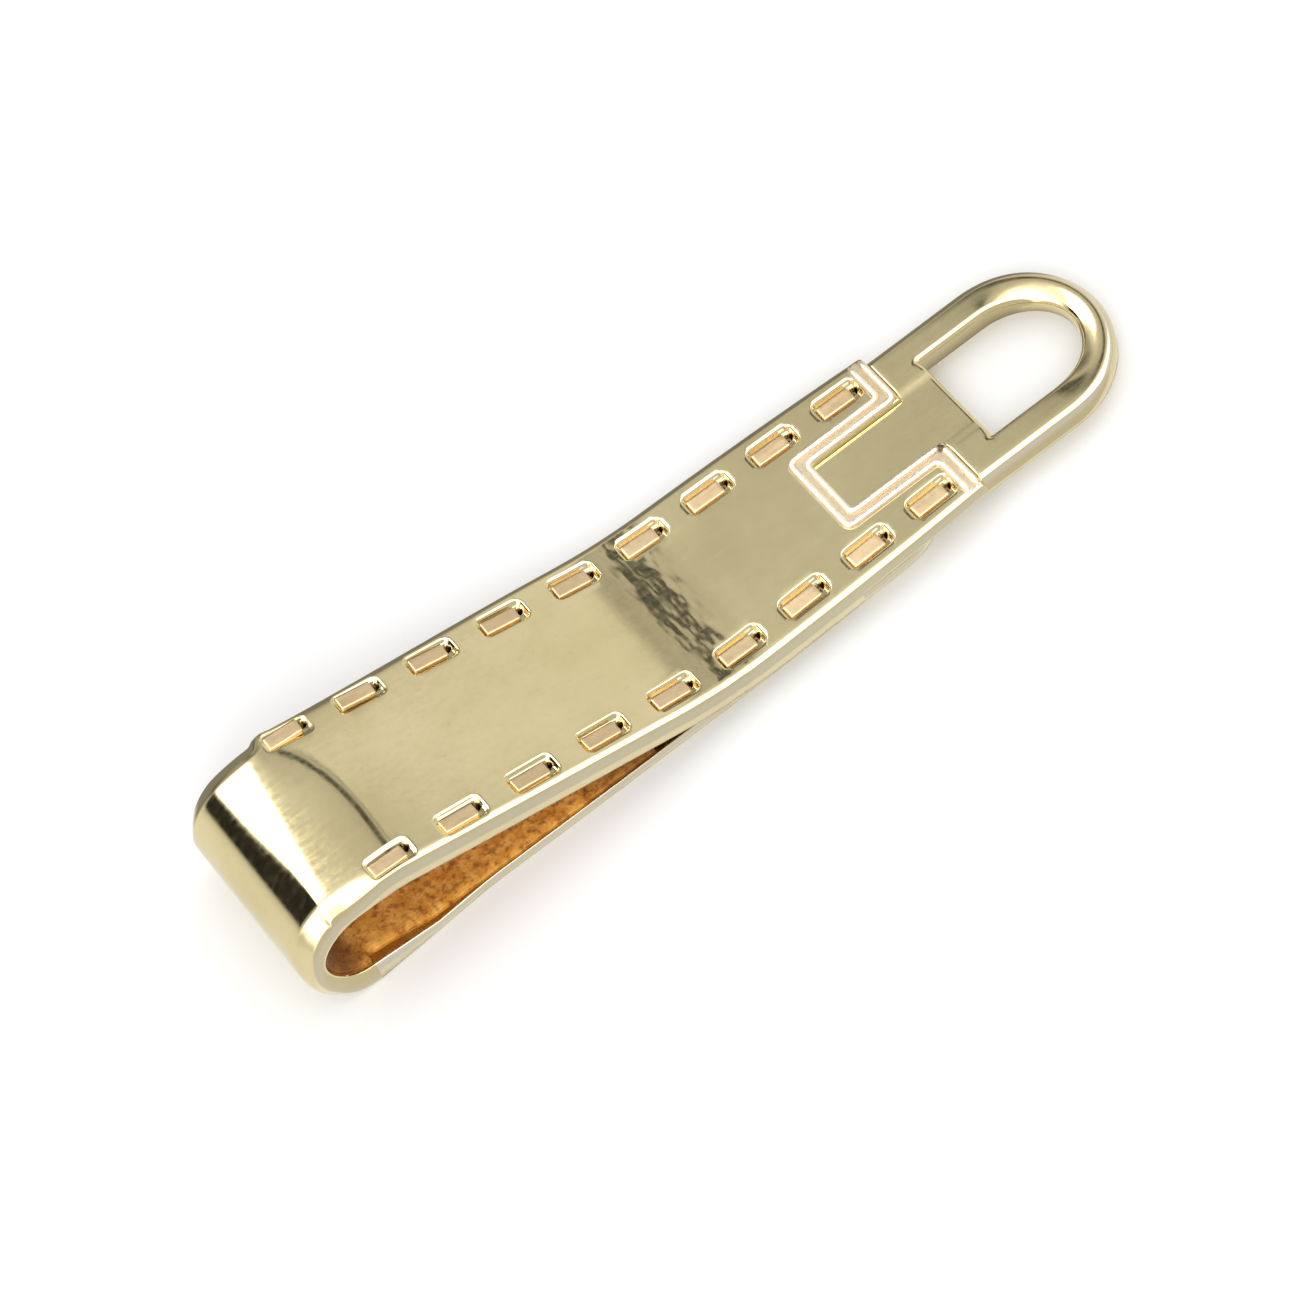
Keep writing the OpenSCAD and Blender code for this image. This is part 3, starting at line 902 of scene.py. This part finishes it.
def makeLoop():
    body, bodyHighlight, bodyShade = loopBody()
    tip, tipHighlight, tipShade = loopTip()
    values = {"edge": np.concatenate([g.ravel() for g in bodyHighlight + tipHighlight]),
              "paintedShade": np.concatenate([g.ravel() for g in bodyShade + tipShade])}
    return makeMesh("loop", [body, tip, loopTongue()], loopGold, values, 60)


loop = makeLoop()
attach(loop, "front")
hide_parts("loop_frame")
print("loop:", len(loop.data.polygons), "faces")


# Back leg, with a thick lip at the bend

backSize = {
    "thick": 0.7,
    "lip": 1.6,  # thickness where the leg leaves the bend
    "lipEnd": 9.0,
    "inset": 0.7,  # how far the edge lies inside the strap's, and where it has drawn in that far
    "insetEnd": 13.0,
    "round": 5.0,
    "edge": 0.16,
    "low": 0.1,
    "liningInset": 1.0,
}


def backHalf(x):
    s, low = backSize, strapSize["lowRadius"]
    return float(halfWidth(x)) - s["inset"] * min(1, (x - low) / (s["insetEnd"] - low))


def makeBackLeg():
    s = backSize
    start = strapSize["lowRadius"] + 0.01
    xs = list(np.linspace(start, 9, 12)) + list(np.linspace(10, backEnd - s["round"] - 0.4, 30))
    turns = np.radians(np.linspace(90, 4, 26))
    wide = [backHalf(x) for x in xs]
    xs += [backEnd - s["round"] * (1 - math.cos(a)) for a in turns]
    endHalf = backHalf(backEnd - s["round"])
    wide += [endHalf * math.sin(a) for a in turns]
    xs, wide = np.array(xs), np.array(wide)
    shares = np.array([0, 0.2, 0.4, 0.6, 0.8, 0.9, 0.95, 0.975, 0.985, 0.993, 0.998, 1])
    shares = np.concatenate([-shares[:0:-1], shares])
    xGrid = np.repeat(xs[:, None], len(shares), 1)
    yGrid = wide[:, None] * shares
    gap = np.minimum(wide[:, None] - np.abs(yGrid), np.maximum(backEnd - xGrid, 0))
    upper = np.interp(xGrid, [start, s["lipEnd"]], [s["lip"], s["thick"]])
    top = np.stack([xGrid, yGrid, upper - rounding(gap, s["edge"])], -1)
    middle = np.stack([xGrid, yGrid, np.full_like(xGrid, s["low"])], -1)
    bottom = np.stack([xGrid, yGrid * 0.99, np.zeros_like(xGrid)], -1)
    edge = (1 - smooth(gap, 0.03, 0.2)) * 0.8
    return makeMesh("backLeg", [solidFromGrids(top, middle, bottom)], underside, {"edge": edge.ravel()}, 60)


backLeg = makeBackLeg()
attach(backLeg, "back")
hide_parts("back_leg")
print("back leg:", len(backLeg.data.polygons), "faces")


# Napped lining in the jaw


def makeJawLining():
    # Follows the inside of the bend and the underside of the front leg
    line = rail[rail[:, 0] < lining["end"]]
    line = line[np.concatenate([[True], np.abs(np.diff(line[:, 0])) + np.abs(np.diff(line[:, 1])) > 0.06])]
    deep = strapSize["thick"] + 0.01
    atBend = np.arange(len(line)) < turned
    half = np.where(atBend, 7.05, halfWidth(line[:, 0]) - 0.5)
    rng = np.random.default_rng(7)
    half = half + rng.uniform(-0.07, 0.0, len(line))
    shares = np.concatenate([np.linspace(-1, -0.9, 4), np.linspace(-0.8, 0.8, 9), np.linspace(0.9, 1, 4)])
    yGrid = half[:, None] * shares
    x, z, nx, nz = (line[:, k][:, None] for k in range(4))
    gap = half[:, None] - np.abs(yGrid)

    def layer(depth):
        return np.stack(np.broadcast_arrays(x - nx * depth, yGrid, z - nz * depth), -1)

    pile = deep + lining["thickness"]
    bottom = layer(pile - rounding(gap, 0.12))
    # painted shade inside the bend and deep in the jaw
    paintedShade = np.maximum(0.8 - 0.8 * smooth(x + 0 * yGrid, 2.0, 5.0), smooth(x + 0 * yGrid, 18, 26) * 0.8)
    solid = solidFromGrids(layer(deep), layer(deep + 0.1), bottom)
    return makeMesh("jawLining", [solid], tanNap, {"paintedShade": np.tile(paintedShade.ravel(), 3)})


def makeBackLining():
    xs = np.concatenate([np.linspace(4.16, 9, 10), np.linspace(9.6, lining["end"], 28)])
    rng = np.random.default_rng(11)
    half = halfWidth(xs) - backSize["liningInset"] + rng.uniform(-0.07, 0, len(xs))
    shares = np.concatenate([np.linspace(-1, -0.9, 4), np.linspace(-0.8, 0.8, 9), np.linspace(0.9, 1, 4)])
    xGrid = np.repeat(xs[:, None], len(shares), 1)
    yGrid = half[:, None] * shares
    base = np.interp(xGrid, [4.16, backSize["lipEnd"]], [backSize["lip"], backSize["thick"]]) + 0.01
    pile = base + lining["thickness"] - rounding(half[:, None] - np.abs(yGrid), 0.12)
    top = np.stack([xGrid, yGrid, pile], -1)
    middle = np.stack([xGrid, yGrid, base + 0.1], -1)
    bottom = np.stack([xGrid, yGrid, base], -1)
    # painted shade inside the bend and deep in the jaw
    paintedShade = np.maximum(0.8 - 0.8 * smooth(xGrid, 2.0, 5.0), smooth(xGrid, 18, 26) * 0.8)
    return makeMesh("backLining", [solidFromGrids(top, middle, bottom)], tanNap,
                    {"paintedShade": np.tile(paintedShade.ravel(), 3)})


jawLining = makeJawLining()
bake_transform(jawLining)
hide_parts("lining_front", "lining_bend")
backLining = makeBackLining()
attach(backLining, "back")
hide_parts("lining_back")
print("lining made")

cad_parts["loop_rivets"].data.materials.clear()
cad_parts["loop_rivets"].data.materials.append(underside)


# Camera, light and floor

shot = {
    "aim": (0, 0, 3.0),
    "right": (0.7932, -0.5474, -0.2668),
    "up": (0.5961, 0.6081, 0.5243),
    "back": (-0.1247, -0.5749, 0.8086),
    "offRight": 1.670,
    "offUp": 3.174,
    "distance": 352.187,
    "lens": 156.5,
}


def makeCamera():
    right, up, back = (Vector(shot[key]) for key in ("right", "up", "back"))
    data = bpy.data.cameras.new("camera")
    data.lens = shot["lens"]
    data.sensor_width = 36
    data.clip_start, data.clip_end = 0.01, 20
    camera = bpy.data.objects.new("camera", data)
    bpy.context.scene.collection.objects.link(camera)
    place = Vector(shot["aim"]) - right * shot["offRight"] - up * shot["offUp"] + back * shot["distance"]
    turn = Matrix((right, up, back)).transposed().to_quaternion().normalized()
    camera.rotation_mode = "QUATERNION"
    camera.location = place * mm
    camera.rotation_quaternion = turn
    bpy.context.scene.camera = camera


studio = {
    "floorShade": (0.93, 0.93, 0.925),
    "worldStrength": 0.98,
    "domeRadius": 1.6,
    # Brightness met by a reflection at each angle over the clip, 0 along +X and 90 straight up
    "domeBands": [
        (0, 0.70), (30, 0.76), (46, 0.80), (54, 0.80), (58.8, 0.78), (60.6, 0.46), (62.6, 0.38),
        (64.2, 0.58), (65.8, 0.52), (67.6, 0.12), (72.0, 0.06), (74.2, 0.54), (76.5, 0.57), (78, 0.55),
        (80, 0.61), (84, 0.68), (88, 0.76), (90, 4.5), (101, 4.8), (102, 1.2), (103.5, 4.5),
        (123, 4.5), (128, 0.5), (132, 0.02),
        (156, 0.02), (162, 0.66), (170, 0.82), (180, 0.86),
    ],
    # The same for reflections away from the main panels, which show from other sides
    "plainBands": [
        (0, 0.62), (45, 0.80), (78, 0.60), (95, 1.25), (118, 1.25), (138, 0.42), (165, 0.72), (180, 0.80),
    ],
    "panelReach": (0.44, 0.50, 0.67, 0.75),
    "domeTop": 5.0,
    "nearWhite": 3.0,
    "nearLow": 0.62,
    "under": 0.86,
    "farDark": 0.30,
}


def makeDome():
    s = studio
    bpy.ops.mesh.primitive_uv_sphere_add(segments=64, ring_count=32, radius=s["domeRadius"])
    dome = bpy.context.object
    dome.name = "lightDome"
    material = bpy.data.materials.new("lightDome")
    material.use_nodes = True
    tree = material.node_tree
    tree.nodes.clear()
    place = addNode(tree, "ShaderNodeTexCoord").outputs["Object"]
    apart = addNode(tree, "ShaderNodeSeparateXYZ")
    tree.links.new(place, apart.inputs[0])
    turn = math2(tree, "ARCTAN2", apart.outputs["Z"], apart.outputs["X"])
    share = math2(tree, "DIVIDE", turn, math.pi)
    across = math2(tree, "DIVIDE", apart.outputs["Y"], s["domeRadius"])
    panels, plain = (ramp(tree, share, [(angle / 180, value / s["domeTop"]) for angle, value in s[key]])
                     for key in ("domeBands", "plainBands"))
    reach = s["panelReach"]
    onPanels = math2(tree, "MULTIPLY", mapped(tree, across, reach[0], reach[1], 0, 1),
                     mapped(tree, across, reach[2], reach[3], 1, 0))
    bands = mixColour(tree, onPanels, plain, panels)
    ahead = math2(tree, "DIVIDE", apart.outputs["X"], s["domeRadius"])
    inRange = math2(tree, "MULTIPLY", mapped(tree, ahead, 0.55, 0.8, 1, 0),
                    mapped(tree, ahead, -0.95, -0.8, 0, 1))
    near = math2(tree, "MULTIPLY", mapped(tree, across, 0.42, 0.14, 0, 1), inRange)
    colour = mixColour(tree, near, bands, (*[s["nearWhite"] / s["domeTop"]] * 3, 1))
    under = mapped(tree, apart.outputs["Z"], 0.2, 0, 0, 1)
    colour = mixColour(tree, under, colour, (*[s["under"] / s["domeTop"]] * 3, 1))
    low = mapped(tree, across, -0.36, -0.55, 0, 1)
    colour = mixColour(tree, low, colour, (*[s["nearLow"] / s["domeTop"]] * 3, 1))
    far = mapped(tree, across, 0.70, 0.86, 1, s["farDark"])
    shade = math2(tree, "MULTIPLY", far, s["domeTop"])
    glow = addNode(tree, "ShaderNodeEmission")
    feed(tree, glow, Color=colour, Strength=shade)
    out = addNode(tree, "ShaderNodeOutputMaterial")
    tree.links.new(glow.outputs[0], out.inputs["Surface"])
    dome.data.materials.append(material)
    dome.visible_camera = False
    dome.visible_diffuse = False
    dome.visible_shadow = False
    dome.visible_transmission = False
    return dome


def makeFloor():
    bpy.ops.mesh.primitive_plane_add(size=2.8)
    floor = bpy.context.object
    floor.name = "floor"
    material, tree, shader = newMaterial("paleFloor")
    place = addNode(tree, "ShaderNodeTexCoord").outputs["Object"]
    shade = studio["floorShade"]
    grain = ramp(tree, noise(tree, place, 900, 2), [(0.3, [c * 0.995 for c in shade]), (0.7, shade)])
    tree.links.new(grain, shader.inputs["Base Color"])
    shader.inputs["Roughness"].default_value = 0.9
    shader.inputs["Specular IOR Level"].default_value = 0.0
    floor.data.materials.append(material)
    floor.visible_glossy = False
    return floor


def addLight(name, place, size, watts, colour=(1, 1, 1)):
    data = bpy.data.lights.new(name, "AREA")
    data.size = size
    data.energy = watts
    data.color = colour
    light = bpy.data.objects.new(name, data)
    light.location = place
    light.rotation_mode = "QUATERNION"
    light.rotation_quaternion = (-Vector(place)).to_track_quat("-Z", "Y")
    light.visible_glossy = False
    bpy.context.scene.collection.objects.link(light)


makeCamera()
makeFloor()
makeDome()
addLight("keyLight", (-0.3, -0.7, 0.55), 0.5, 3.2)
addLight("fillLight", (0.8, 0.3, 0.8), 0.7, 1.4)
world = bpy.data.worlds.new("studio")
world.use_nodes = True
world.node_tree.nodes["Background"].inputs["Color"].default_value = (1, 1, 1, 1)
world.node_tree.nodes["Background"].inputs["Strength"].default_value = studio["worldStrength"]
bpy.context.scene.world = world
bpy.context.scene.view_settings.view_transform = "Standard"
print("camera, lights and floor made")
